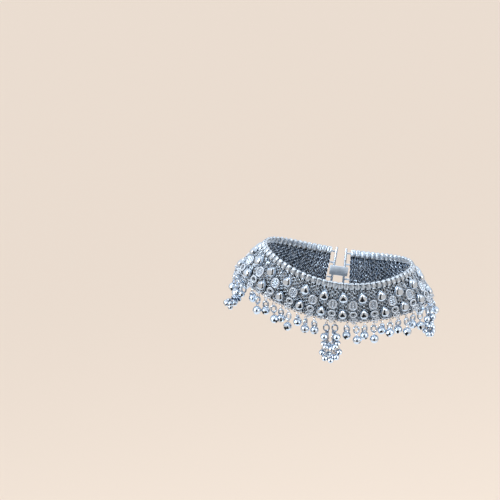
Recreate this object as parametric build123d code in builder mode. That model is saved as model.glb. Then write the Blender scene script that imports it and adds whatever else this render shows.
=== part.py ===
from build123d import *
import os
from math import cos, pi, radians, sin, sqrt

# A wide silver payal: an ankle band of linked metal, worn so that it rests on the instep at the
# front (-X) and on the heel at the back (+X) and sags at both sides. The origin is the middle of
# the opening that the ankle passes through, at the band's top edge. All lengths in millimetres.
#
# Places on the band are given by two numbers: s, the length along the band from the middle of the
# near side (-Y), positive towards +X, and v, the share of the band's height, 0 at the top edge and
# 1 at the bottom edge.

# The two edges of the band: half length, half width, centre along X, height of the ends' middle,
# rise per millimetre of X, and how far the sides sag below the ends.
TOP_EDGE = dict(half_length=44.7, half_width=37.0, centre=0.4, height=0.1, slope=-0.15, sag=7.9)
BOTTOM_EDGE = dict(half_length=61.4, half_width=27.0, centre=-3.1, height=-20.7, slope=-0.135, sag=15.2)

PITCH = 11.9               # length between two trim columns
LAST_COLUMN = 10           # columns on each side of the near side's middle one
CLASP_GAP = 14.0           # length of the loop that the clasp takes
LOOP_STEPS = 720           # steps of the sum that measures the loop

# Layers of the band, measured outwards from its middle surface.
MESH_THICKNESS = 1.2
BORDER_THICKNESS = 1.9
RAIL_THICKNESS = 1.3
LAYER_GAP = 0.16           # running gap between the trim and the mesh behind it
TRIM_BASE = 0.6            # thickness of a trim piece's back plate and of the strip that joins it
STRIP_HEIGHT = 1.2         # height of the strip that joins the pieces of one row

# Heights on the band, as shares of its height. A pear's place is the centre of its round end.
BORDER_END = 0.165
MESH_START = 0.171
MESH_END = 0.945
RAIL_START = 0.951
UPPER_PEAR_AT = 0.355
OVAL_AT = 0.53
LOWER_PEAR_AT = 0.77
RING_BOSS_AT = 0.765
TREFOIL_AT = 0.918

# Trim: domed pears, ovals in relief, ring bosses, and trefoils of three eyelets.
PEAR_RADIUS = 3.1
PEAR_TIP = 4.1             # from the centre of the round end to the tip
PEAR_INNER = 0.84          # size of the dome's foot, as a share of the whole pear
PEAR_DOME = 2.2
DOME_TAPER = 32
LOWER_PEAR_SIZE = 0.93
OVAL_HALF = (2.6, 3.5)
OVAL_RELIEF = 0.5
RING_BOSS_RADIUS = 2.4
RING_BOSS_HOLE = 1.1
RING_BOSS_RELIEF = 0.6
EYELET_RADIUS = 1.0
EYELET_SPREAD = 1.05       # from the trefoil's middle to each eyelet's centre
FOOT_PLATE_RADIUS = 0.9

# The fringe: a thread under the rail, and on it drops of a ring and a round bell. Depths are
# measured from the thread.
THREAD_AT = 1.022
THREAD_WIRE = 0.9
DROP_PITCH = 4.65
END_CLEARANCE = 4.8        # from the band's end to the nearest drop
THREAD_END = 2.4           # how far the thread runs past the last drop
RING_OUTER = 2.3
RING_INNER = 1.4
RING_DEPTH = 3.7
LINK_WIRE = 0.72           # width and thickness of the links above and below the ring
BELL_RADIUS = 2.5
BELL_DEPTH = 9.0
SWAY = 9.0                 # the drops lean outwards and inwards by turns, in degrees
BOB = 1.1                  # and hang this much lower and higher

# Tassels: a ring, and below it tiers of bells round a bundle of chains, as one turned form.
STEM_RADIUS = 0.8
WAIST_RADIUS = 2.2
TASSEL_TIERS = [
    dict(depth=9.0, radius=5.4, half_height=2.1),
    dict(depth=15.8, radius=6.0, half_height=2.0),
    dict(depth=20.2, radius=7.0, half_height=1.7),
    dict(depth=23.6, radius=4.9, half_height=1.4),
]
# Each tassel: its place on the loop, its length below the ring and its width as shares of the
# middle one's, the lean of its ring and of its bundle outwards and the bundle's turn towards the
# heel in degrees, and the length from it to the nearest drops.
TASSELS = {
    "tassel_front": dict(
        at=-51.0, length=0.74, width=0.62, ring_lean=8.0, lean=60.0, turn=-20.0, clearance=6.2
    ),
    "tassel_side": dict(
        at=0.0, length=1.0, width=1.0, ring_lean=3.0, lean=3.0, turn=0.0, clearance=8.6
    ),
    "tassel_heel": dict(
        at=57.5, length=0.72, width=0.72, ring_lean=3.0, lean=3.0, turn=0.0, clearance=7.2
    ),
}

# The clasp: a closed link round the two end bars, which lugs carry on the ends of the band.
BAR_RADIUS = 0.8
BAR_FROM_MIDDLE = 3.6
LUG_RADIUS = 0.55
LUG_HEIGHTS = (0.1, 0.34, 0.66, 0.9)
END_GAP = 0.12
CLASP_WALL = 1.2
CLASP_CLEARANCE = 0.3
CLASP_HEIGHT = 6.0


def edge_point(edge, angle):
    """A point of one edge. Angle 0 is the near side (-Y), a quarter turn is +X."""
    along = edge["half_length"] * sin(angle)
    across = -edge["half_width"] * cos(angle)
    height = edge["height"] + edge["slope"] * along - edge["sag"] * cos(angle) ** 2
    return Vector(edge["centre"] + along, across, height)


def surface_point(angle, v):
    return edge_point(TOP_EDGE, angle) * (1 - v) + edge_point(BOTTOM_EDGE, angle) * v


def measure_loop():
    """Lengths along the loop at half height, from the near side to each step's angle."""
    angles = [pi * i / LOOP_STEPS for i in range(LOOP_STEPS + 1)]
    lengths = [0.0]
    for before, after in zip(angles, angles[1:]):
        lengths.append(lengths[-1] + (surface_point(after, 0.5) - surface_point(before, 0.5)).length)
    return angles, lengths


LOOP_ANGLES, LOOP_LENGTHS = measure_loop()
HALF_LOOP = LOOP_LENGTHS[-1]
HALF_BAND = HALF_LOOP - CLASP_GAP / 2


def angle_at(s):
    """The loop's angle at length s, measured on the heel side. The front side is 4 % longer."""
    size = min(abs(s), HALF_LOOP)
    i = next(k for k in range(1, len(LOOP_LENGTHS)) if LOOP_LENGTHS[k] >= size)
    share = (size - LOOP_LENGTHS[i - 1]) / (LOOP_LENGTHS[i] - LOOP_LENGTHS[i - 1])
    angle = LOOP_ANGLES[i - 1] + share * (LOOP_ANGLES[i] - LOOP_ANGLES[i - 1])
    return angle if s >= 0 else -angle


def place(s, v, outwards=0.0):
    """A plane on the band: its z points outwards, its x along the band and its y up the band."""
    angle = angle_at(s)
    up = (surface_point(angle, 0) - surface_point(angle, 1)).normalized()
    step = 0.002
    along = (surface_point(angle + step, v) - surface_point(angle - step, v)).normalized()
    out = along.cross(up).normalized()
    return Plane(origin=surface_point(angle, v) + out * outwards, x_dir=up.cross(out), z_dir=out)


def band_height(s):
    angle = angle_at(s)
    return (surface_point(angle, 0) - surface_point(angle, 1)).length


def strip(v_start, v_end, inner, outer, s_start, s_end, height=0.0):
    """A strip of the band, lofted through a rectangle at each trim column and at both ends."""
    columns = [k * PITCH / 2 for k in range(-2 * LAST_COLUMN - 1, 2 * LAST_COLUMN + 2)]
    inside = [s for s in columns if s_start + 1 < s < s_end - 1]
    sections = []
    for s in [s_start] + inside + [s_end]:
        at = place(s, (v_start + v_end) / 2)
        with BuildSketch(Plane(origin=at.origin, x_dir=at.z_dir, z_dir=at.x_dir)) as section:
            with Locations(((inner + outer) / 2, 0)):
                Rectangle(outer - inner, height or (v_end - v_start) * band_height(s))
        sections.append(section.sketch.face())
    loft(sections, ruled=True)


def rod(start, end, radius):
    along = end - start
    with Locations(Plane(origin=(start + end) / 2, z_dir=along)):
        Cylinder(radius, along.length)


TRIM_FOOT = MESH_THICKNESS / 2 + LAYER_GAP
TRIM_TOP = TRIM_FOOT + TRIM_BASE
PEAR_PLACES = [(k + 0.5) * PITCH for k in range(-LAST_COLUMN, LAST_COLUMN)]
BETWEEN_PLACES = [k * PITCH for k in range(-LAST_COLUMN, LAST_COLUMN + 1)]

pieces = []


def keep(builder, name):
    builder.part.label = name
    pieces.append(builder.part)


# ---- The band: a border of box links, the mesh, and the rail that carries the fringe ----

for name, v_start, v_end, thickness in (
    ("border_chain", 0.0, BORDER_END, BORDER_THICKNESS),
    ("link_mesh", MESH_START, MESH_END, MESH_THICKNESS),
    ("bottom_rail", RAIL_START, 1.0, RAIL_THICKNESS),
):
    with BuildPart() as band:
        strip(v_start, v_end, -thickness / 2, thickness / 2, -HALF_BAND, HALF_BAND)
    keep(band, name)


# ---- The trim: four rows, each joined by a strip along its back ----

def row_strip(v):
    strip(v, v, TRIM_FOOT, TRIM_TOP, BETWEEN_PLACES[0], BETWEEN_PLACES[-1], STRIP_HEIGHT)


def pear_outline(size):
    """A round end with two tangent sides that meet at a tip above it."""
    radius = PEAR_RADIUS * size
    tip = PEAR_TIP * size
    rise = radius * radius / tip
    reach = sqrt(radius * radius - rise * rise)
    with BuildLine() as outline:
        Polyline((reach, rise), (0, tip), (-reach, rise))
        ThreePointArc((-reach, rise), (0, -radius), (reach, rise))
    make_face(outline.line.edges())


with BuildPart() as upper_pear_row:
    row_strip(UPPER_PEAR_AT)
    for s in PEAR_PLACES:
        with BuildSketch(place(s, UPPER_PEAR_AT, TRIM_FOOT)):
            pear_outline(1.0)
    extrude(amount=TRIM_BASE)
    for s in PEAR_PLACES:
        with BuildSketch(place(s, UPPER_PEAR_AT, TRIM_TOP)):
            pear_outline(PEAR_INNER)
    extrude(amount=PEAR_DOME, taper=DOME_TAPER)
keep(upper_pear_row, "upper_pear_row")

with BuildPart() as oval_row:
    row_strip(OVAL_AT)
    for s in BETWEEN_PLACES:
        with BuildSketch(place(s, OVAL_AT, TRIM_FOOT)):
            Ellipse(*OVAL_HALF)
    extrude(amount=TRIM_BASE + OVAL_RELIEF)
keep(oval_row, "oval_row")

with BuildPart() as lower_row:
    row_strip(LOWER_PEAR_AT)
    for s in PEAR_PLACES:
        with BuildSketch(place(s, LOWER_PEAR_AT, TRIM_FOOT)):
            pear_outline(LOWER_PEAR_SIZE)
    for s in BETWEEN_PLACES:
        with BuildSketch(place(s, RING_BOSS_AT, TRIM_FOOT)):
            Circle(RING_BOSS_RADIUS)
    extrude(amount=TRIM_BASE)
    for s in PEAR_PLACES:
        with BuildSketch(place(s, LOWER_PEAR_AT, TRIM_TOP)):
            pear_outline(LOWER_PEAR_SIZE * PEAR_INNER)
    extrude(amount=PEAR_DOME * LOWER_PEAR_SIZE, taper=DOME_TAPER)
    for s in BETWEEN_PLACES:
        with BuildSketch(place(s, RING_BOSS_AT, TRIM_TOP)):
            Circle(RING_BOSS_RADIUS)
            Circle(RING_BOSS_HOLE, mode=Mode.SUBTRACT)
    extrude(amount=RING_BOSS_RELIEF)
keep(lower_row, "lower_pear_and_ring_row")

with BuildPart() as trefoil_row:
    row_strip(TREFOIL_AT)
    for s in BETWEEN_PLACES:
        with BuildSketch(place(s, TREFOIL_AT, TRIM_FOOT)):
            with PolarLocations(EYELET_SPREAD, 3, start_angle=-90):
                Circle(EYELET_RADIUS)
    for s in PEAR_PLACES:
        with BuildSketch(place(s, TREFOIL_AT, TRIM_FOOT)):
            Circle(FOOT_PLATE_RADIUS)
    extrude(amount=TRIM_BASE)
keep(trefoil_row, "trefoil_row")


# ---- The fringe: one thread of ring-and-bell drops for each quarter of the loop ----

def hang(s, lean, turn=0.0):
    """A plane with its origin on the thread, its y straight up but for the lean outwards."""
    at = place(s, THREAD_AT)
    out = Vector(at.z_dir.X, at.z_dir.Y, 0).normalized().rotate(Axis.Z, turn)
    up = Vector(0, 0, 1)
    face = out * cos(radians(lean)) + up * sin(radians(lean))
    return Plane(origin=at.origin, x_dir=up.cross(out), z_dir=face)


def ring_and_link(link_end):
    """The flat outline of a link from the thread to link_end, with the ring on it."""
    with Locations((0, -link_end / 2)):
        Rectangle(LINK_WIRE, link_end)
    with Locations((0, -RING_DEPTH)):
        Circle(RING_OUTER)
        Circle(RING_INNER, mode=Mode.SUBTRACT)


def beside(tassel, side):
    """The length at which the drops begin beside a tassel, on its front (-1) or heel side (1)."""
    return TASSELS[tassel]["at"] + side * TASSELS[tassel]["clearance"]


FRINGES = {
    "bell_fringe_far_front": (END_CLEARANCE - HALF_BAND, beside("tassel_front", -1)),
    "bell_fringe_near_front": (beside("tassel_front", 1), beside("tassel_side", -1)),
    "bell_fringe_near_heel": (beside("tassel_side", 1), beside("tassel_heel", -1)),
    "bell_fringe_far_heel": (beside("tassel_heel", 1), HALF_BAND - END_CLEARANCE),
}

for name, (first, last) in FRINGES.items():
    steps = round((last - first) / DROP_PITCH)
    with BuildPart() as fringe:
        half = THREAD_WIRE / 2
        strip(THREAD_AT, THREAD_AT, -half, half, first - THREAD_END, last + THREAD_END, THREAD_WIRE)
        bells = []
        for k in range(steps + 1):
            turn = 1 if k % 2 else -1
            drop = hang(first + (last - first) * k / steps, turn * SWAY)
            depth = BELL_DEPTH + turn * BOB
            with BuildSketch(drop):
                ring_and_link(depth)
            bells.append(Plane(drop.origin - drop.y_dir * depth, x_dir=drop.x_dir, z_dir=drop.z_dir))
        extrude(amount=LINK_WIRE / 2, both=True)
        with Locations(*bells):
            Sphere(BELL_RADIUS)
    keep(fringe, name)


# ---- The tassels ----

for name, tassel in TASSELS.items():
    ring = hang(tassel["at"], tassel["ring_lean"])
    leaning = hang(tassel["at"], tassel["lean"], tassel["turn"])
    ring_foot = RING_DEPTH + (RING_OUTER + RING_INNER) / 2
    body = Plane(origin=ring.origin - ring.y_dir * ring_foot, x_dir=leaning.x_dir, z_dir=leaning.z_dir)
    waist = WAIST_RADIUS * tassel["width"]
    with BuildPart() as strands:
        with BuildSketch(ring):
            ring_and_link(RING_DEPTH - (RING_OUTER + RING_INNER) / 2)
        extrude(amount=LINK_WIRE / 2, both=True)
        with BuildSketch(body):
            with BuildLine():
                for k, tier in enumerate(TASSEL_TIERS):
                    middle = (ring_foot - tier["depth"]) * tassel["length"]
                    half = tier["half_height"] * tassel["length"]
                    radius = tier["radius"] * tassel["width"]
                    top = (waist, middle + half)
                    bottom = (waist, middle - half)
                    if k == 0:
                        Polyline((0, 0), (STEM_RADIUS, 0), (STEM_RADIUS, middle + half), top)
                    else:
                        Line(last_bottom, top)
                    Line(top, (radius - half, middle + half))
                    outside = (radius, middle)
                    ThreePointArc((radius - half, middle + half), outside, (radius - half, middle - half))
                    Line((radius - half, middle - half), bottom)
                    last_bottom = bottom
                Polyline(last_bottom, (0, last_bottom[1]), (0, 0))
            make_face()
        revolve(axis=Axis(body.origin, body.y_dir))
    keep(strands, name)


# ---- The fastening: two end bars and the closed link that holds them ----

for name, side in (("end_bar_front", -1), ("end_bar_heel", 1)):
    bar_at = side * (HALF_LOOP - BAR_FROM_MIDDLE)
    with BuildPart() as bar:
        rod(place(bar_at, 0.0).origin, place(bar_at, 1.0).origin, BAR_RADIUS)
        for v in LUG_HEIGHTS:
            rod(place(bar_at, v).origin, place(side * (HALF_BAND + END_GAP), v).origin, LUG_RADIUS)
    keep(bar, name)

middle = place(HALF_LOOP, 0.5)
slot_half = (BAR_FROM_MIDDLE + BAR_RADIUS + CLASP_CLEARANCE, BAR_RADIUS + CLASP_CLEARANCE)
with BuildPart() as clasp:
    with BuildSketch(Plane(origin=middle.origin, x_dir=middle.x_dir, z_dir=middle.y_dir)):
        Rectangle(2 * (slot_half[0] + CLASP_WALL), 2 * (slot_half[1] + CLASP_WALL))
        Rectangle(2 * slot_half[0], 2 * slot_half[1], mode=Mode.SUBTRACT)
    extrude(amount=CLASP_HEIGHT / 2, both=True)
keep(clasp, "clasp")

os.makedirs("parts", exist_ok=True)
for piece in pieces:
    export_step(piece, f"parts/{piece.label}.step")
    print(piece.label, round(piece.volume, 1), "mm3,", len(piece.solids()), "solid")
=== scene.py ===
import bpy
import bmesh
import random
from bisect import bisect_left
from math import atan2, cos, pi, radians, sin
from mathutils import Matrix, Vector


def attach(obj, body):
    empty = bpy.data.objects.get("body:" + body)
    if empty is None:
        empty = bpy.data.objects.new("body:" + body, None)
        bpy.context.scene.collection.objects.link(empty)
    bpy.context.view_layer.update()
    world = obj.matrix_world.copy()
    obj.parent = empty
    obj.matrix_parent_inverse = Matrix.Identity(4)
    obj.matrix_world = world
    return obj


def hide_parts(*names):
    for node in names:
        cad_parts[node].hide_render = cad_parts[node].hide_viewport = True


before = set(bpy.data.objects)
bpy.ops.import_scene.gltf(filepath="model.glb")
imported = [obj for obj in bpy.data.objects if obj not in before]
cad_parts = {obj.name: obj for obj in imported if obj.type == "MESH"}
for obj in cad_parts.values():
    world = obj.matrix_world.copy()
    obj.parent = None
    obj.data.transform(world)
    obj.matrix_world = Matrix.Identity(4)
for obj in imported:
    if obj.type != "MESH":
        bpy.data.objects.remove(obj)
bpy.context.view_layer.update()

# ---- Border chain ----
# The payal's top edge is a row of upright box links in silver-plated white metal. Each is struck as
# a pillow with a long wire loop on its face, and small rings painted dark as shade hook it to the
# next.

MM = 0.001

# The band is a loop worn on an ankle: high on the instep (-X), low on the heel (+X) and sagging at
# both sides. A place on it is a length s along it from the middle of the near side, positive
# towards the heel, and a share v of its height, 0 at the top edge and 1 at the foot.
TOP_EDGE = dict(half_length=44.7 * MM, half_width=37.0 * MM, centre=0.4 * MM, height=0.1 * MM,
                slope=-0.15, sag=7.9 * MM)
FOOT_EDGE = dict(half_length=61.4 * MM, half_width=27.0 * MM, centre=-3.1 * MM, height=-20.7 * MM,
                 slope=-0.135, sag=15.2 * MM)
CLASP_GAP = 14.0 * MM
LOOP_STEPS = 720


def edge_point(edge, angle):
    along = edge["half_length"] * sin(angle)
    across = -edge["half_width"] * cos(angle)
    height = edge["height"] + edge["slope"] * along - edge["sag"] * cos(angle) ** 2
    return Vector((edge["centre"] + along, across, height))


def surface_point(angle, v):
    return edge_point(TOP_EDGE, angle).lerp(edge_point(FOOT_EDGE, angle), v)


loop_lengths = [0.0]
for step in range(LOOP_STEPS):
    before = surface_point(pi * step / LOOP_STEPS, 0.5)
    after = surface_point(pi * (step + 1) / LOOP_STEPS, 0.5)
    loop_lengths.append(loop_lengths[-1] + (after - before).length)
HALF_LOOP = loop_lengths[-1]
HALF_BAND = HALF_LOOP - CLASP_GAP / 2


def angle_at(s):
    size = min(abs(s), HALF_LOOP)
    step = max(1, bisect_left(loop_lengths, size))
    share = (size - loop_lengths[step - 1]) / (loop_lengths[step] - loop_lengths[step - 1])
    angle = pi * (step - 1 + share) / LOOP_STEPS
    return angle if s >= 0 else -angle


ANGLE_STEP = 0.002


def on_band(s, v, out=0.0):
    """The matrix of a place on the band: x along the band, y up the band, z outwards."""
    angle = angle_at(s)
    origin = surface_point(angle, v)
    up = (surface_point(angle, 0) - surface_point(angle, 1)).normalized()
    along = surface_point(angle + ANGLE_STEP, v) - surface_point(angle - ANGLE_STEP, v)
    along.normalize()
    normal = along.cross(up).normalized()
    along = up.cross(normal)
    origin += normal * out
    return Matrix((
        (along.x, up.x, normal.x, origin.x),
        (along.y, up.y, normal.y, origin.y),
        (along.z, up.z, normal.z, origin.z),
        (0, 0, 0, 1),
    ))


def band_height(s):
    angle = angle_at(s)
    return (surface_point(angle, 0) - surface_point(angle, 1)).length


def srgb(code):
    """A linear colour from an sRGB hex code."""
    parts = [int(code[i:i + 2], 16) / 255 for i in (1, 3, 5)]
    return [p / 12.92 if p <= 0.04045 else ((p + 0.055) / 1.055) ** 2.4 for p in parts] + [1.0]


def add_node(tree, kind, links=None, **settings):
    """Adds a node. Settings are attributes or inputs by name; links are input name to socket."""
    node = tree.nodes.new(kind)
    for key, value in settings.items():
        if hasattr(node, key):
            setattr(node, key, value)
        else:
            node.inputs[key.replace("_", " ")].default_value = value
    for key, socket in (links or {}).items():
        tree.links.new(socket, node.inputs[key])
    return node


# How much a metal's roughness changes where its tone is darkest and lightest.
DULLER = 1.25
BRIGHTER = 0.8


def metal(name, light, dark, roughness, grain_mm, relief_mm, mottle_mm):
    """A metal whose colour drifts between two tones, with a fine relief from its making.

    The grain, the relief's depth and the drift of the tone are real sizes in millimetres.
    """
    material = bpy.data.materials.new(name)
    material.use_nodes = True
    tree = material.node_tree
    tree.nodes.clear()
    place = add_node(tree, "ShaderNodeTexCoord")
    mottle = add_node(tree, "ShaderNodeTexNoise", {"Vector": place.outputs["Object"]},
                      Scale=1 / (mottle_mm * MM), Detail=3.0, Roughness=0.6)
    tone = add_node(tree, "ShaderNodeMix", {"Factor": mottle.outputs["Fac"]}, data_type="RGBA")
    tone.inputs[6].default_value = srgb(dark)
    tone.inputs[7].default_value = srgb(light)
    dullness = add_node(tree, "ShaderNodeMapRange", {"Value": mottle.outputs["Fac"]})
    dullness.inputs["To Min"].default_value = roughness * DULLER
    dullness.inputs["To Max"].default_value = roughness * BRIGHTER
    grain = add_node(tree, "ShaderNodeTexNoise", {"Vector": place.outputs["Object"]},
                     Scale=1 / (grain_mm * MM), Detail=2.0)
    bump = add_node(tree, "ShaderNodeBump", {"Height": grain.outputs["Fac"]},
                    Distance=relief_mm * MM, Strength=1.0)
    shader = add_node(tree, "ShaderNodeBsdfPrincipled",
                      {"Base Color": tone.outputs[2], "Roughness": dullness.outputs["Result"],
                       "Normal": bump.outputs["Normal"]}, Metallic=1.0)
    add_node(tree, "ShaderNodeOutputMaterial", {"Surface": shader.outputs["BSDF"]})
    return material


# Silver-plated drawn wire: a pale, soft satin, because no polishing wheel reaches it.
satin_wire = metal("satin_silver_wire", "#e2edf9", "#a9b8c8", 0.36, 0.8, 0.03, 2.0)
# Painted shade: a nearly black silver plate put in the recesses, gaps and slits where shade falls.
oxidised_plate = metal("painted_shade_silver_plate", "#2c333b", "#0e1115", 0.38, 0.6, 0.06, 2.0)


def pattern(bm, sharp_from=50):
    """Turns a finished bmesh into a mesh that is placed many times, with its normals outwards.

    It is shaded smooth but for edges sharper than an angle in degrees.
    """
    bmesh.ops.remove_doubles(bm, verts=bm.verts, dist=0.001 * MM)
    bmesh.ops.recalc_face_normals(bm, faces=bm.faces)
    for face in bm.faces:
        face.smooth = True
    for edge in bm.edges:
        edge.smooth = not edge.is_manifold or edge.calc_face_angle() < radians(sharp_from)
    mesh = bpy.data.meshes.new("pattern")
    bm.to_mesh(mesh)
    bm.free()
    return mesh


def wire_loop(half_width, half_height, wire, steps, sides):
    """A closed wire link, a circle drawn out upwards to an oval. Sizes are to the wire's middle."""
    bm = bmesh.new()
    half_step = Matrix.Rotation(pi / steps, 4, "Z")
    upright = Matrix.Rotation(pi / 2, 4, "X")
    section = half_step @ Matrix.Translation((half_width, 0, 0)) @ upright
    bmesh.ops.create_circle(bm, segments=sides, radius=wire / 2, matrix=section)
    bmesh.ops.spin(bm, geom=bm.verts[:] + bm.edges[:], cent=(0, 0, 0), axis=(0, 0, 1),
                   angle=2 * pi, steps=steps, use_merge=True)
    for vertex in bm.verts:
        vertex.co.y += (half_height - half_width) * (1 if vertex.co.y > 0 else -1)
    return bm


def place_all(name, placements, materials, nodes=()):
    """One piece of many placed patterns. Placements are pairs of a mesh and a matrix."""
    bm = bmesh.new()
    for mesh, matrix in placements:
        copy = mesh.copy()
        copy.transform(matrix)
        bm.from_mesh(copy)
        bpy.data.meshes.remove(copy)
    mesh = bpy.data.meshes.new(name)
    bm.to_mesh(mesh)
    bm.free()
    for material in materials:
        mesh.materials.append(material)
    piece = bpy.data.objects.new(name, mesh)
    bpy.context.scene.collection.objects.link(piece)
    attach(piece, "root")
    if nodes:
        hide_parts(*nodes)


BORDER_MIDDLE = 0.083
BOX_LINK_PITCH = 3.7 * MM
# A box link's half sizes along the band, through it and up it, and how round each is: a power of
# the sphere's own coordinate, 1 for a ball and 0 for a block.
BOX_LINK_SHAPE = ((1.68 * MM, 0.5), (1.0 * MM, 0.8), (2.4 * MM, 0.5))
BOX_LINK_FACE = 0.85 * MM
BOX_LINK_LEAN = 6
HOOK_HEIGHTS = (0.03, 0.135)
HOOK_OUT = 0.3 * MM

bm = bmesh.new()
bmesh.ops.create_uvsphere(bm, u_segments=16, v_segments=12, radius=1.0)
for vertex in bm.verts:
    for axis, (half_size, roundness) in enumerate(BOX_LINK_SHAPE):
        value = vertex.co[axis]
        vertex.co[axis] = half_size * abs(value) ** roundness * (1 if value > 0 else -1)
bmesh.ops.rotate(bm, verts=bm.verts, matrix=Matrix.Rotation(pi / 2, 3, "X"))
box_link = pattern(bm)
tall_loop = pattern(wire_loop(0.75 * MM, 1.45 * MM, 0.5 * MM, 14, 6))
hook_ring = pattern(wire_loop(0.6 * MM, 0.6 * MM, 0.45 * MM, 10, 5))

links = []
loops = []
hooks = []
count = int((2 * HALF_BAND) / BOX_LINK_PITCH)
for k in range(count):
    s = (k + 0.5) / count * 2 * HALF_BAND - HALF_BAND
    lean = Matrix.Rotation(radians(BOX_LINK_LEAN if k % 2 else -BOX_LINK_LEAN), 4, "Y")
    links.append((box_link, on_band(s, BORDER_MIDDLE) @ lean))
    for face in (-BOX_LINK_FACE, BOX_LINK_FACE):
        loops.append((tall_loop, on_band(s, BORDER_MIDDLE, face) @ lean))
    if k:
        for v in HOOK_HEIGHTS:
            lying = Matrix.Rotation(pi / 2, 4, "X")
            hooks.append((hook_ring, on_band(s - BOX_LINK_PITCH / 2, v, HOOK_OUT) @ lying))
place_all("border_box_links", links, [satin_wire], ["border_chain"])
place_all("border_loops", loops, [satin_wire])
# The hook rings are painted dark: shade in the gaps between the box links.
place_all("border_hook_rings", hooks, [oxidised_plate])

# ---- Link mesh ----
# The body of the band: upright oval links of drawn wire in rows, each row hooked half a link
# above the last and no two quite in line, with a solder grain at each joint. A second layer of the
# same links lies behind, painted darker as shade under the front links, so that the mesh is nearly
# closed.

MESH_COLUMNS = 156
MESH_ROWS = 8
MESH_START = 0.15
MESH_END = 0.95
# The heights between which a link's middle may lie.
FIRST_LINK = MESH_START + 0.02
LAST_LINK = MESH_END - 0.01
# How far the two layers and the wall between them lie outwards of the band's middle.
FRONT_LAYER = 0.25 * MM
BACK_LAYER = -0.35 * MM
CORE_LAYER = -0.05 * MM
CORE_THICKNESS = 0.1 * MM
# How far short of the band's two ends the links and the wall stop.
MESH_MARGIN = 0.8 * MM
CORE_MARGIN = 0.3 * MM
# How far a link may turn in the band, twist about its length and nod outwards, in degrees.
LINK_TURN = 14
LINK_TWIST = (8, 28)
LINK_NOD = 12
# How far a link and a grain may reach in under a trim piece, and how far out the grains sit.
LINK_UNDER_TRIM = 0.9 * MM
GRAIN_UNDER_TRIM = 0.2 * MM
GRAIN_OUT = (0.5, 0.75)

# The trim that covers the mesh, so that links are left out beneath it: its pitch along the band,
# its heights on the band, and the pieces' half sizes.
PITCH = 11.9 * MM
LAST_COLUMN = 10
UPPER_PEAR_AT = 0.345
OVAL_AT = 0.53
LOWER_PEAR_AT = 0.755
RING_BOSS_AT = 0.765
PEAR_HALF = (3.2 * MM, 3.85 * MM)
OVAL_HALF = (2.6 * MM, 3.5 * MM)
RING_BOSS_RADIUS = 2.45 * MM
pear_places = [(k + 0.5) * PITCH for k in range(-LAST_COLUMN, LAST_COLUMN)]
between_places = [k * PITCH for k in range(-LAST_COLUMN, LAST_COLUMN + 1)]


def is_covered(s, v, margin):
    """Whether a trim piece lies over a place on the band."""
    height = band_height(s)
    covers = [(pear_places, UPPER_PEAR_AT, PEAR_HALF), (between_places, OVAL_AT, OVAL_HALF),
              (pear_places, LOWER_PEAR_AT, PEAR_HALF),
              (between_places, RING_BOSS_AT, (RING_BOSS_RADIUS, RING_BOSS_RADIUS))]
    for places, at, (half_width, half_height) in covers:
        across = min(abs(s - p) for p in places) / (half_width - margin)
        up = (v - at) * height / (half_height - margin)
        if across * across + up * up < 1:
            return True
    return False


# Silver plate as struck, with the grain of the die: greyer and duller than the wire before it. On
# the mesh's back layer that darker tone is painted shade under the front links.
struck_plate = metal("struck_silver_and_painted_shade", "#bccadc", "#7f8c9b", 0.24, 0.5, 0.05, 2.5)

random.seed(7)
MESH_LINK = (0.6 * MM, 1.4 * MM, 0.52 * MM)
upright_link = pattern(wire_loop(*MESH_LINK, 10, 5))
back_link = pattern(wire_loop(*MESH_LINK, 8, 4))
bm = bmesh.new()
bmesh.ops.create_icosphere(bm, subdivisions=2, radius=0.46 * MM)
solder_grain = pattern(bm, 180)

front_links = []
back_links = []
grains = []
half_row = 0.5 * (MESH_END - MESH_START) / (MESH_ROWS + 0.5)
for column in range(MESH_COLUMNS):
    s = (column + 0.5) / MESH_COLUMNS * 2 * HALF_LOOP - HALF_LOOP
    if abs(s) > HALF_BAND - MESH_MARGIN:
        continue
    for row in range(MESH_ROWS + 1):
        v = MESH_START + half_row * (2 * row + column % 2)
        if v < FIRST_LINK or v > LAST_LINK:
            continue
        turn = Matrix.Rotation(radians(random.uniform(-LINK_TURN, LINK_TURN)), 4, "Z")
        twist = random.uniform(*LINK_TWIST) * (1 if column % 2 else -1)
        nod = random.uniform(-LINK_NOD, LINK_NOD)
        turn = (turn @ Matrix.Rotation(radians(twist), 4, "Y")
                @ Matrix.Rotation(radians(nod), 4, "X"))
        back_links.append((back_link, on_band(s, v, BACK_LAYER) @ turn))
        if not is_covered(s, v, LINK_UNDER_TRIM):
            front_links.append((upright_link, on_band(s, v, FRONT_LAYER) @ turn))
        joint = v + half_row
        if not is_covered(s, joint, GRAIN_UNDER_TRIM) and joint < MESH_END:
            grains.append((solder_grain, on_band(s, joint, random.uniform(*GRAIN_OUT) * MM)))
place_all("mesh_front_links", front_links, [satin_wire], ["link_mesh"])
# The back links are painted darker: shade under the front layer.
place_all("mesh_back_links", back_links, [struck_plate])
place_all("mesh_solder_grains", grains, [satin_wire])

# A thin wall between the two layers stands for the links' hooks, which close the mesh. Its nearly
# black plate is painted shade in the gaps between the links.
bm = bmesh.new()
bmesh.ops.create_grid(bm, x_segments=MESH_COLUMNS, y_segments=8, size=1.0)
for vertex in bm.verts:
    v = MESH_START + (MESH_END - MESH_START) * (0.5 - 0.5 * vertex.co.y)
    vertex.co = on_band(vertex.co.x * (HALF_BAND - CORE_MARGIN), v, CORE_LAYER).translation
bmesh.ops.solidify(bm, geom=bm.verts[:] + bm.edges[:] + bm.faces[:], thickness=CORE_THICKNESS)
core = pattern(bm, 80)
place_all("mesh_core", [(core, Matrix.Identity(4))], [oxidised_plate])
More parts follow.
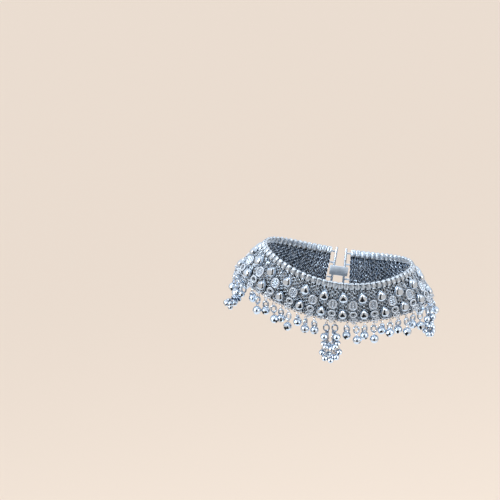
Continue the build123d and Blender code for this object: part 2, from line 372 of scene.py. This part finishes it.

# ---- Pears ----
# Two rows of pear-shaped bosses, pressed from sheet and polished: a raised rim of wire, a groove
# painted dark as shade, and a dome that is highest in its lower third and narrows to its tip.

# How far the back of every trim piece lies outwards of the band's middle.
TRIM_BACK = 0.75 * MM
PEAR_WALL_HEIGHT = 0.45 * MM
PEAR_RIM_HEIGHT = 0.6 * MM
PEAR_GROOVE_HEIGHT = 0.4 * MM
PEAR_DOME_HEIGHT = 2.1 * MM
PEAR_CREST = -0.7 * MM
# How quickly a pear narrows to its tip, and the half width that its outline then has of 1.
PEAR_TAPER = 0.6
PEAR_WIDEST = 0.84
# How full the dome is: 1 for half a ball, and less for a flatter crown with steeper sides.
PEAR_FULLNESS = 0.62
# How far a pear may be out of true, in degrees.
PEAR_SLACK = 4
LOWER_PEAR_SIZE = 0.94

# Polished silver plate: a bright, cool mirror with faint ripples from hand polishing.
polished_plate = metal("polished_silver_plate", "#dbe8f6", "#b7c7da", 0.11, 1.2, 0.02, 4.0)


def pear_outline(bm, half_width, half_height, points=36):
    """A flat face shaped as a pear, its tip up."""
    bmesh.ops.create_circle(bm, cap_ends=True, segments=points, radius=1.0)
    for vertex in bm.verts:
        angle = atan2(vertex.co.x, vertex.co.y) % (2 * pi)
        vertex.co.x = half_width / PEAR_WIDEST * sin(angle) * sin(angle / 2) ** PEAR_TAPER
        vertex.co.y = half_height * cos(angle)
    return bm.faces[:][0]


def rise(bm, face, share, height, centre):
    """Draws a face out to a smaller one above it, about a centre, and returns that one."""
    top = bmesh.ops.extrude_discrete_faces(bm, faces=[face])["faces"][0]
    for vertex in top.verts:
        vertex.co.x = centre[0] + (vertex.co.x - centre[0]) * share
        vertex.co.y = centre[1] + (vertex.co.y - centre[1]) * share
        vertex.co.z = height
    return top


def domed_pear(size):
    bm = bmesh.new()
    crest = (0.0, PEAR_CREST * size)
    face = pear_outline(bm, PEAR_HALF[0] * size, PEAR_HALF[1] * size)
    face = rise(bm, face, 1.0, PEAR_WALL_HEIGHT, crest)
    face = rise(bm, face, 0.97, PEAR_RIM_HEIGHT, crest)
    face = rise(bm, face, 0.96, PEAR_RIM_HEIGHT, crest)
    # The groove's walls are painted dark: shade in the recess round the dome.
    dark_from = len(bm.faces)
    face = rise(bm, face, 0.98, PEAR_GROOVE_HEIGHT, crest)
    for side in bm.faces[dark_from:]:
        side.material_index = 1
    last = 1.0
    for angle in range(12, 90, 13):
        share = cos(radians(angle)) ** PEAR_FULLNESS
        height = PEAR_GROOVE_HEIGHT + PEAR_DOME_HEIGHT * size * sin(radians(angle))
        face = rise(bm, face, share / last, height, crest)
        face.material_index = 0
        last = share
    bmesh.ops.poke(bm, faces=[face])
    return pattern(bm)


def pears(name, at, size, node):
    mesh = domed_pear(size)
    placements = []
    for s in pear_places:
        tilt = Matrix.Rotation(radians(random.uniform(-PEAR_SLACK, PEAR_SLACK)), 4, "X")
        spin = Matrix.Rotation(radians(random.uniform(-PEAR_SLACK, PEAR_SLACK)), 4, "Z")
        placements.append((mesh, on_band(s, at, TRIM_BACK) @ spin @ tilt))
    place_all(name, placements, [polished_plate, oxidised_plate], node)


pears("upper_pears", UPPER_PEAR_AT, 1.0, ["upper_pear_row"])
pears("lower_pears", LOWER_PEAR_AT, LOWER_PEAR_SIZE, ["lower_pear_and_ring_row"])

# ---- Filigree ovals ----
# Between the upper pears: an oval rim of thick round wire on a thin plate, filled with two columns
# of small rings and a grain between each, all soldered down. Rim and plate are left matt.

OVAL_WIRE = 0.9 * MM
OVAL_PLATE_HEIGHT = 0.35 * MM
OVAL_RIM_HEIGHT = 0.55 * MM
FILIGREE_HEIGHT = 0.6 * MM
GRAIN_SINK = 0.1 * MM

bm = bmesh.new()
bmesh.ops.create_circle(bm, cap_ends=True, segments=28, radius=1.0)
bmesh.ops.scale(bm, vec=(OVAL_HALF[0] * 0.96, OVAL_HALF[1] * 0.96, 1), verts=bm.verts)
rise(bm, bm.faces[:][0], 0.98, OVAL_PLATE_HEIGHT, (0, 0))
oval_plate = pattern(bm)
oval_rim = pattern(wire_loop(OVAL_HALF[0] - 0.4 * MM, OVAL_HALF[1] - 0.4 * MM, OVAL_WIRE, 24, 8))
filigree_ring = pattern(wire_loop(0.66 * MM, 0.66 * MM, 0.42 * MM, 12, 6))
# The rings and grains inside an oval, from its middle, in millimetres.
FILIGREE_RINGS = ((-0.9, 1.5), (0.9, 1.5), (-0.9, 0.0), (0.9, 0.0), (-0.9, -1.5), (0.9, -1.5))
FILIGREE_GRAINS = ((0.0, 0.75), (0.0, -0.75), (0.0, 2.3), (0.0, -2.3))

plates = []
oval_rims = []
filigree = []
for s in between_places:
    place = on_band(s, OVAL_AT, TRIM_BACK)
    plates.append((oval_plate, place))
    oval_rims.append((oval_rim, place @ Matrix.Translation((0, 0, OVAL_RIM_HEIGHT))))
    for x, y in FILIGREE_RINGS:
        at = Matrix.Translation((x * MM, y * MM, FILIGREE_HEIGHT))
        filigree.append((filigree_ring, place @ at))
    for x, y in FILIGREE_GRAINS:
        at = Matrix.Translation((x * MM, y * MM, FILIGREE_HEIGHT - GRAIN_SINK))
        filigree.append((solder_grain, place @ at))

# Silver plate left white from the pickling acid: matt, so it stays pale whatever lies before it.
pickled_plate = metal("pickled_silver_plate", "#ecf3fb", "#cfdae7", 0.62, 0.5, 0.03, 2.0)
place_all("oval_plates", plates, [pickled_plate], ["oval_row"])
place_all("oval_rims", oval_rims, [pickled_plate])
place_all("oval_filigree", filigree, [polished_plate])

# ---- Ring bosses ----
# Under each oval: a ring of thick matt wire, soldered round a floor painted dark as shade, with a
# thin ring inside it.

BOSS_WIRE = 1.0 * MM
BOSS_FLOOR_HEIGHT = 0.3 * MM
BOSS_RIM_HEIGHT = 0.5 * MM
INNER_RIM_HEIGHT = 0.35 * MM

bm = bmesh.new()
bmesh.ops.create_circle(bm, cap_ends=True, segments=24, radius=RING_BOSS_RADIUS * 0.9)
rise(bm, bm.faces[:][0], 0.98, BOSS_FLOOR_HEIGHT, (0, 0))
boss_floor = pattern(bm)
boss_middle = RING_BOSS_RADIUS - BOSS_WIRE / 2
boss_rim = pattern(wire_loop(boss_middle, boss_middle, BOSS_WIRE, 24, 8))
inner_rim = pattern(wire_loop(0.95 * MM, 0.95 * MM, 0.34 * MM, 16, 5))
floors = []
rims = []
for s in between_places:
    place = on_band(s, RING_BOSS_AT, TRIM_BACK)
    floors.append((boss_floor, place))
    rims.append((boss_rim, place @ Matrix.Translation((0, 0, BOSS_RIM_HEIGHT))))
    rims.append((inner_rim, place @ Matrix.Translation((0, 0, INNER_RIM_HEIGHT))))
# The floors are painted dark: shade inside the rings.
place_all("ring_boss_floors", floors, [oxidised_plate])
place_all("ring_boss_rims", rims, [pickled_plate])

# ---- Trefoils and foot plates ----
# Under each ring boss, three small rings soldered in a fan; under each lower pear, a flat oval
# loop with a grain at each end.

TREFOIL_AT = 0.915
TREFOIL_OUT = 1.4 * MM
TREFOIL_SPREAD = 1.4 * MM
TREFOIL_TURNS = (-90, 30, 150)
FLAT_LOOP_AT = 0.92
FLAT_LOOP_OUT = 0.85 * MM
END_GRAIN = (2.3 * MM, 0.3 * MM)
trefoil_ring = pattern(wire_loop(0.92 * MM, 0.92 * MM, 0.68 * MM, 14, 6))
flat_loop = pattern(wire_loop(0.7 * MM, 1.6 * MM, 0.55 * MM, 14, 6))
fans = []
for s in between_places:
    place = on_band(s, TREFOIL_AT, TREFOIL_OUT)
    for turn in TREFOIL_TURNS:
        at = Vector((cos(radians(turn)), sin(radians(turn)), 0)) * TREFOIL_SPREAD
        fans.append((trefoil_ring, place @ Matrix.Translation(at)))
for s in pear_places:
    place = on_band(s, FLAT_LOOP_AT, FLAT_LOOP_OUT)
    fans.append((flat_loop, place @ Matrix.Rotation(pi / 2, 4, "Z")))
    for side in (-1, 1):
        fans.append((solder_grain, place @ Matrix.Translation((side * END_GRAIN[0], END_GRAIN[1], 0))))
place_all("trefoil_fans", fans, [pickled_plate], ["trefoil_row"])

# ---- Bottom rail ----
# A chain of small round links, soldered along the foot of the mesh, that the fringe hangs from.

RAIL_PITCH = 1.75 * MM
RAIL_AT = 0.972
RAIL_TWIST = 40
rail_link = pattern(wire_loop(0.62 * MM, 0.62 * MM, 0.5 * MM, 12, 6))
links = []
count = int(2 * HALF_BAND / RAIL_PITCH)
for k in range(count):
    s = (k + 0.5) / count * 2 * HALF_BAND - HALF_BAND
    twist = Matrix.Rotation(radians(RAIL_TWIST if k % 2 else -RAIL_TWIST), 4, "X")
    links.append((rail_link, on_band(s, RAIL_AT) @ twist))
place_all("rail_links", links, [struck_plate], ["bottom_rail"])

# ---- Bell fringe ----
# Round ghungroo bells, pressed in two halves with a slit mouth and a loop on top. Each hangs by
# an oval jump ring from a small link under the rail, and they crowd and sway as they please.

THREAD_AT = 1.022
DROP_PITCH = 4.65 * MM
END_CLEARANCE = 4.8 * MM
BELL_RADIUS = 2.7 * MM
BELL_DEPTH = 9.0 * MM
BELL_BOB = 1.0 * MM
BELL_LIFT = 2.2 * MM
RING_DEPTH = 3.75 * MM
TOP_LINK_DEPTH = 0.8 * MM
BELL_LOOP_RISE = 0.3 * MM
# How far a drop leans outwards, give or take, and how far it sways along the band, in degrees.
DROP_LEAN = 9
DROP_LEAN_SPREAD = 3
DROP_SWAY = 7
# The turns of the jump rings about their length, in degrees: most hang nearly flat, some edge on.
RING_TURNS = (-12, 0, 10, 18, 70)
BELL_LOOP_TURN = (40, 90)
BELL_TILT = 25

# A bell's seam, and its slit: where that starts below the middle, its half width and its floor,
# all as shares of the bell's radius.
SEAM_WIDTH = 1.05
SLIT_START = 0.25
SLIT_HALF_WIDTH = 0.16
SLIT_FLOOR = 0.88

# The fringe leaves room for three tassels, which come after it.
# Each tassel: its place on the loop, its length below the ring and its width as shares of the
# middle one's, the lean outwards of its ring and of its bundle and the bundle's turn towards the
# heel in degrees, the length from it to the nearest drops, the size of its bells, and how far
# its rings are from its middle in millimetres.
TASSELS = {
    "tassel_front": dict(at=-51.0, length=0.74, width=0.62, ring_lean=8.0, lean=60.0, turn=-20.0,
                         clearance=6.2, bells=0.86, rings=(0.0,)),
    "tassel_side": dict(at=0.0, length=1.0, width=1.0, ring_lean=3.0, lean=3.0, turn=0.0,
                        clearance=8.6, bells=1.0, rings=(-2.6, 2.6)),
    "tassel_heel": dict(at=57.5, length=0.72, width=0.72, ring_lean=3.0, lean=3.0, turn=0.0,
                        clearance=7.2, bells=0.86, rings=(0.0,)),
}


def bell(radius, around=20, rings=14):
    """A hollow bell with a raised seam round its middle and a slit across its foot."""
    bm = bmesh.new()
    bmesh.ops.create_uvsphere(bm, u_segments=around, v_segments=rings, radius=radius)
    seam = [v for v in bm.verts if abs(v.co.z) < 0.02 * radius]
    bmesh.ops.scale(bm, vec=(SEAM_WIDTH, SEAM_WIDTH, 1), verts=seam)
    slit = [f for f in bm.faces
            if f.calc_center_median().z < -SLIT_START * radius
            and abs(f.calc_center_median().y) < SLIT_HALF_WIDTH * radius]
    # The slit's faces are painted dark: shade inside the bell's mouth.
    for face in slit:
        face.material_index = 1
    pushed = bmesh.ops.extrude_face_region(bm, geom=slit)["geom"]
    bmesh.ops.delete(bm, geom=slit, context="FACES_ONLY")
    for vertex in [g for g in pushed if isinstance(g, bmesh.types.BMVert)]:
        vertex.co *= SLIT_FLOOR
    return pattern(bm, 35)


fringe_bell = bell(BELL_RADIUS)
oval_ring = pattern(wire_loop(1.5 * MM, 1.9 * MM, 1.3 * MM, 20, 8))
top_link = pattern(wire_loop(0.6 * MM, 0.9 * MM, 0.45 * MM, 10, 5))
bell_loop = pattern(wire_loop(0.6 * MM, 0.75 * MM, 0.5 * MM, 10, 5))


def hang(s, lean, sway=0.0, turn=0.0):
    """A matrix on the thread: z outwards, y up but for a lean outwards and a sway along it."""
    place = on_band(s, THREAD_AT)
    out = Vector((place[0][2], place[1][2], 0)).normalized()
    out.rotate(Matrix.Rotation(radians(turn), 3, "Z"))
    along = Vector((0, 0, 1)).cross(out)
    matrix = Matrix.Translation(place.translation) @ Matrix((
        (along.x, 0, out.x, 0), (along.y, 0, out.y, 0), (0, 1, 0, 0), (0, 0, 0, 1)))
    tilt = Matrix.Rotation(radians(-lean), 4, "X") @ Matrix.Rotation(radians(sway), 4, "Z")
    return matrix @ tilt


upright_bell = Matrix.Rotation(radians(-90), 4, "X")
stops = [END_CLEARANCE - HALF_BAND]
for tassel in TASSELS.values():
    stops += [(tassel["at"] + side * tassel["clearance"]) * MM for side in (-1, 1)]
stops.append(HALF_BAND - END_CLEARANCE)
drop_places = []
for first, last in zip(stops[::2], stops[1::2]):
    steps = round((last - first) / DROP_PITCH)
    drop_places += [(first + (last - first) * k / steps, 1 if k % 2 else -1)
                    for k in range(steps + 1)]

random.seed(11)
rings = []
bells = []
for s, turn in drop_places:
    lean = turn * DROP_LEAN + random.uniform(-DROP_LEAN_SPREAD, DROP_LEAN_SPREAD)
    drop = hang(s, lean, random.uniform(-DROP_SWAY, DROP_SWAY))
    lift = random.choice((0, 0, 0, 0, BELL_LIFT))
    depth = BELL_DEPTH + turn * BELL_BOB - lift
    rings.append((top_link, drop @ Matrix.Translation((0, -TOP_LINK_DEPTH, 0))))
    facing = Matrix.Rotation(radians(random.choice(RING_TURNS)), 4, "Y")
    rings.append((oval_ring, drop @ Matrix.Translation((0, -RING_DEPTH, 0)) @ facing))
    on_top = Matrix.Translation((0, BELL_RADIUS + BELL_LOOP_RISE - depth, 0))
    facing = Matrix.Rotation(radians(random.uniform(*BELL_LOOP_TURN)), 4, "Y")
    rings.append((bell_loop, drop @ on_top @ facing))
    roll = Matrix.Rotation(radians(random.uniform(0, 180)), 4, "Z")
    knock = Matrix.Rotation(radians(random.uniform(-BELL_TILT, BELL_TILT)), 4, "X")
    below = Matrix.Translation((0, -depth, 0))
    bells.append((fringe_bell, drop @ below @ upright_bell @ knock @ roll))
place_all("fringe_rings", rings, [polished_plate],
          ["bell_fringe_far_front", "bell_fringe_near_front",
           "bell_fringe_near_heel", "bell_fringe_far_heel"])
place_all("fringe_bells", bells, [polished_plate, oxidised_plate])

# ---- Tassels ----
# Three longer drops on stout rings: strands of fine oval-link chain fan out and end in bells, with
# a pair of bells high up and a tier of half-round caps midway. The strands are of uneven length.

# Each strand of the middle tassel: how far it spreads along the band and outwards, and how deep
# the centre of its last bell hangs under the thread, in millimetres, as are the sizes after it.
STRANDS = [
    dict(spread=-5.2, out=0.6, depth=19.4), dict(spread=-3.4, out=2.4, depth=22.4),
    dict(spread=-1.6, out=-1.9, depth=21.0), dict(spread=0.3, out=2.9, depth=23.4),
    dict(spread=1.9, out=-1.8, depth=22.8), dict(spread=3.6, out=1.9, depth=21.6),
    dict(spread=5.3, out=0.3, depth=18.8),
]
RING_FOOT = 5.6
STRAND_BELL = 1.95
UPPER_BELL = 2.35
UPPER_BELL_AT = (3.8, -3.4, 1.4)
HANGER_DEPTH = 0.9
CAP_RADIUS = 2.2
CAP_RIM = -0.1
CAP_THICKNESS = 0.3
LINK_STEP = 1.7
# How far a chain link may roll off its quarter turn, in degrees.
LINK_ROLL = 15
# The share of each strand at which its cap sits, and how near to its spread and to its ring's
# middle a strand starts, as shares of both.
CAP_AT = 0.62
START_SPREAD = 0.14
START_RING = 0.6

chain_link = pattern(wire_loop(0.62 * MM, 1.0 * MM, 0.55 * MM, 10, 5))
strand_bell = bell(STRAND_BELL * MM, 18, 12)
upper_bell = bell(UPPER_BELL * MM, 18, 12)
stout_ring = pattern(wire_loop(1.7 * MM, 1.95 * MM, 1.0 * MM, 20, 8))
bm = bmesh.new()
bmesh.ops.create_uvsphere(bm, u_segments=18, v_segments=10, radius=CAP_RADIUS * MM)
lower_half = [v for v in bm.verts if v.co.z < CAP_RIM * MM]
bmesh.ops.delete(bm, geom=lower_half, context="VERTS")
bmesh.ops.solidify(bm, geom=bm.faces[:], thickness=CAP_THICKNESS * MM)
half_cap = pattern(bm)

random.seed(5)
for name, tassel in TASSELS.items():
    ring = hang(tassel["at"] * MM, tassel["ring_lean"])
    foot = hang(tassel["at"] * MM, tassel["lean"], 0.0, tassel["turn"])
    foot.translation = ring @ Vector((0, -RING_FOOT * MM, 0))
    bell_size = Matrix.Scale(tassel["bells"], 4)
    wires = []
    for x in tassel["rings"]:
        wires.append((top_link, ring @ Matrix.Translation((x * MM, -HANGER_DEPTH * MM, 0))))
        wires.append((stout_ring, ring @ Matrix.Translation((x * MM, -RING_DEPTH, 0))))
    bells = []
    for side in (-1, 1):
        high = Vector((side * UPPER_BELL_AT[0] * tassel["width"],
                       UPPER_BELL_AT[1] * tassel["length"], UPPER_BELL_AT[2])) * MM
        bells.append((upper_bell, foot @ Matrix.Translation(high) @ upright_bell @ bell_size))
    for strand in STRANDS:
        end = Vector((strand["spread"] * tassel["width"],
                      (RING_FOOT - strand["depth"]) * tassel["length"],
                      strand["out"] * tassel["width"])) * MM
        ring_x = tassel["rings"][-1] if strand["spread"] > 0 else tassel["rings"][0]
        start = Vector((strand["spread"] * START_SPREAD + ring_x * START_RING, 0, 0)) * MM
        run = end - start
        aim = run.to_track_quat("-Y", "Z").to_matrix().to_4x4()
        for k in range(round((run.length / MM - STRAND_BELL) / LINK_STEP)):
            at = start + run.normalized() * (k + 0.5) * LINK_STEP * MM
            roll = 90 * (k % 2) + random.uniform(-LINK_ROLL, LINK_ROLL)
            roll = Matrix.Rotation(radians(roll), 4, "Y")
            wires.append((chain_link, foot @ Matrix.Translation(at) @ aim @ roll))
        roll = Matrix.Rotation(radians(random.uniform(0, 180)), 4, "Z")
        last = foot @ Matrix.Translation(end) @ upright_bell
        bells.append((strand_bell, last @ roll @ bell_size))
        midway = foot @ Matrix.Translation(start + run * CAP_AT) @ aim @ upright_bell
        bells.append((half_cap, midway @ bell_size))
    place_all(name + "_chains", wires, [struck_plate], [name])
    place_all(name + "_bells", bells, [polished_plate, oxidised_plate])

# ---- End bars and clasp ----
# Plain bars of round wire close the two ends of the band, on short lugs. A closed flat link holds
# the two bars together at the far side.

BAR_FROM_MIDDLE = 3.6 * MM
BAR_RADIUS = 0.8 * MM
LUG_RADIUS = 0.55 * MM
LUG_HEIGHTS = (0.1, 0.34, 0.66, 0.9)


def rod(radius, segments, axis):
    """A rod of unit length, to be stretched. Turned about X it stands, about Y it lies along."""
    bm = bmesh.new()
    bmesh.ops.create_cone(bm, cap_ends=True, segments=segments, radius1=radius, radius2=radius,
                          depth=1.0)
    bmesh.ops.rotate(bm, verts=bm.verts, matrix=Matrix.Rotation(pi / 2, 3, axis))
    return pattern(bm)


bar = rod(BAR_RADIUS, 16, "X")
lug = rod(LUG_RADIUS, 12, "Y")
for name, side in (("end_bar_front", -1), ("end_bar_heel", 1)):
    s = side * (HALF_LOOP - BAR_FROM_MIDDLE)
    parts = [(bar, on_band(s, 0.5) @ Matrix.Diagonal((1, band_height(s), 1, 1)))]
    reach = HALF_LOOP - BAR_FROM_MIDDLE - HALF_BAND
    for v in LUG_HEIGHTS:
        middle = on_band(side * (HALF_BAND + reach / 2), v)
        parts.append((lug, middle @ Matrix.Diagonal((reach, 1, 1, 1))))
    place_all(name + "_wire", parts, [polished_plate], [name])

CLASP_SIZE = (11.8 * MM, 6.0 * MM, 4.6 * MM)
CLASP_WALL = 1.2 * MM
CLASP_ROUNDING = 0.35 * MM
bm = bmesh.new()
bmesh.ops.create_cube(bm, size=1.0, matrix=Matrix.Diagonal((*CLASP_SIZE, 1)))
ends = [f for f in bm.faces if abs(f.normal.y) > 0.5]
bmesh.ops.inset_individual(bm, faces=ends, thickness=CLASP_WALL)
bmesh.ops.bridge_loops(bm, edges=[e for f in ends for e in f.edges])
bmesh.ops.delete(bm, geom=ends, context="FACES_ONLY")
corners = [e for e in bm.edges if e.calc_face_angle(0) > 1.0]
bmesh.ops.bevel(bm, geom=corners, offset=CLASP_ROUNDING, offset_type="OFFSET", segments=3,
                profile=0.5, affect="EDGES", material=-1)
place_all("clasp_link", [(pattern(bm, 40), on_band(HALF_LOOP, 0.5))], [satin_wire], ["clasp"])

# ---- Stage ----
# A pale matt floor far below, a bright room and three soft lamps. A white card under the payal and
# a black cloth before it, which stands up behind the camera, show only in the metal, as a jewellery
# table's cards do from outside the view. They give the polished domes bright rims and dark hearts.

FLOOR_HEIGHT = -1000 * MM
FLOOR_RADIUS = 40000 * MM
CARD_HEIGHT = FLOOR_HEIGHT + 0.5 * MM
CARD_RADIUS = 1000 * MM
CLOTH_HEIGHT = FLOOR_HEIGHT + 1.0 * MM
CLOTH_HALF_WIDTH = 760 * MM
CLOTH_NEAR = -560 * MM
CLOTH_FAR = -2300 * MM
CLOTH_TOP = 1300 * MM

sheets = []
for name, colour, radius, height in (
    ("pale_floor_paper", "#e9dacb", FLOOR_RADIUS, FLOOR_HEIGHT),
    ("white_card", "#fbf9f6", CARD_RADIUS, CARD_HEIGHT),
):
    bm = bmesh.new()
    bmesh.ops.create_circle(bm, cap_ends=True, segments=64, radius=radius,
                            matrix=Matrix.Translation((0, 0, height)))
    sheets.append((name, colour, bm))
# The cloth's three rows: its near edge, the fold on the floor and its top edge.
cloth_rows = {1: (CLOTH_NEAR, CLOTH_HEIGHT), 0: (CLOTH_FAR, CLOTH_HEIGHT), -1: (CLOTH_FAR, CLOTH_TOP)}
bm = bmesh.new()
bmesh.ops.create_grid(bm, x_segments=1, y_segments=2, size=1.0)
for vertex in bm.verts:
    vertex.co = (vertex.co.x * CLOTH_HALF_WIDTH, *cloth_rows[round(vertex.co.y)])
sheets.append(("black_cloth", "#08090b", bm))

for name, colour, shape in sheets:
    sheet_mesh = bpy.data.meshes.new(name)
    shape.to_mesh(sheet_mesh)
    shape.free()
    sheet = bpy.data.objects.new(name, sheet_mesh)
    bpy.context.scene.collection.objects.link(sheet)
    # The card and the cloth are seen by the metal alone, so that the floor stays plain all round.
    seen = name == "pale_floor_paper"
    sheet.visible_camera = seen
    sheet.visible_diffuse = seen
    sheet.visible_shadow = seen
    # Matt, so that it shows no reflection of the lamps.
    paper = bpy.data.materials.new(name)
    paper.use_nodes = True
    paper_shader = paper.node_tree.nodes["Principled BSDF"]
    paper_shader.inputs["Base Color"].default_value = srgb(colour)
    paper_shader.inputs["Roughness"].default_value = 1.0
    sheet_mesh.materials.append(paper)

CAMERA_AZIMUTH = radians(3)
CAMERA_ELEVATION = radians(16)
CAMERA_DISTANCE = 806 * MM
CAMERA_AIM_LEFT = 54.7 * MM
CAMERA_AIM_UP = 1.2 * MM
CAMERA_LENS = 93.6
CAMERA_REACH = (0.05, 200)
back = Vector((sin(CAMERA_AZIMUTH) * cos(CAMERA_ELEVATION),
               -cos(CAMERA_AZIMUTH) * cos(CAMERA_ELEVATION), sin(CAMERA_ELEVATION)))
right = Vector((cos(CAMERA_AZIMUTH), sin(CAMERA_AZIMUTH), 0))
up = back.cross(right)
aim = up * CAMERA_AIM_UP - right * CAMERA_AIM_LEFT
look = (aim - back * CAMERA_DISTANCE).normalized()
level = (right - look * right.dot(look)).normalized()
camera_data = bpy.data.cameras.new("camera")
camera_data.lens = CAMERA_LENS
camera_data.clip_start, camera_data.clip_end = CAMERA_REACH
camera = bpy.data.objects.new("camera", camera_data)
bpy.context.scene.collection.objects.link(camera)
camera.location = back * CAMERA_DISTANCE
camera.rotation_euler = Matrix((level, level.cross(look), -look)).transposed().to_euler()
bpy.context.scene.camera = camera

# A room whose walls are cream up to a height over the horizon, and cool white above it.
ROOM_STRENGTH = 1.25
WALL_ENDS = 0.04
CEILING_STARTS = 0.3
world = bpy.data.worlds.new("studio")
bpy.context.scene.world = world
world.use_nodes = True
sky = world.node_tree
sky.nodes.clear()
ray = add_node(sky, "ShaderNodeTexCoord")
split = add_node(sky, "ShaderNodeSeparateXYZ", {"Vector": ray.outputs["Generated"]})
height = add_node(sky, "ShaderNodeMapRange", {"Value": split.outputs["Z"]},
                  interpolation_type="SMOOTHSTEP")
height.inputs["From Min"].default_value = WALL_ENDS
height.inputs["From Max"].default_value = CEILING_STARTS
room = add_node(sky, "ShaderNodeMix", {"Factor": height.outputs["Result"]}, data_type="RGBA")
room.inputs[6].default_value = srgb("#d6c9bd")
room.inputs[7].default_value = srgb("#e8e9eb")
light = add_node(sky, "ShaderNodeBackground", {"Color": room.outputs[2]}, Strength=ROOM_STRENGTH)
add_node(sky, "ShaderNodeOutputWorld", {"Surface": light.outputs["Background"]})

# Three soft round lamps: place, diameter and power. Each is aimed at the payal.
LAMP_SPREAD = radians(40)
LAMP_COLOUR = (0.9, 0.96, 1.0)
for name, place, size, power in (
    ("key_lamp", (-3.4, -2.6, 2.2), 2.2, 8.0),
    ("fill_lamp", (3.6, -1.6, 1.6), 1.6, 2.0),
    ("top_lamp", (0.3, -0.6, 4.4), 2.0, 1.5),
):
    lamp_data = bpy.data.lights.new(name, "AREA")
    lamp_data.shape = "DISK"
    lamp_data.size = size
    lamp_data.energy = power
    lamp_data.spread = LAMP_SPREAD
    lamp_data.color = LAMP_COLOUR
    lamp = bpy.data.objects.new(name, lamp_data)
    bpy.context.scene.collection.objects.link(lamp)
    lamp.location = place
    lamp.rotation_euler = (-Vector(place)).to_track_quat("-Z", "Y").to_euler()

bpy.context.scene.view_settings.view_transform = "Standard"

bpy.context.view_layer.update()
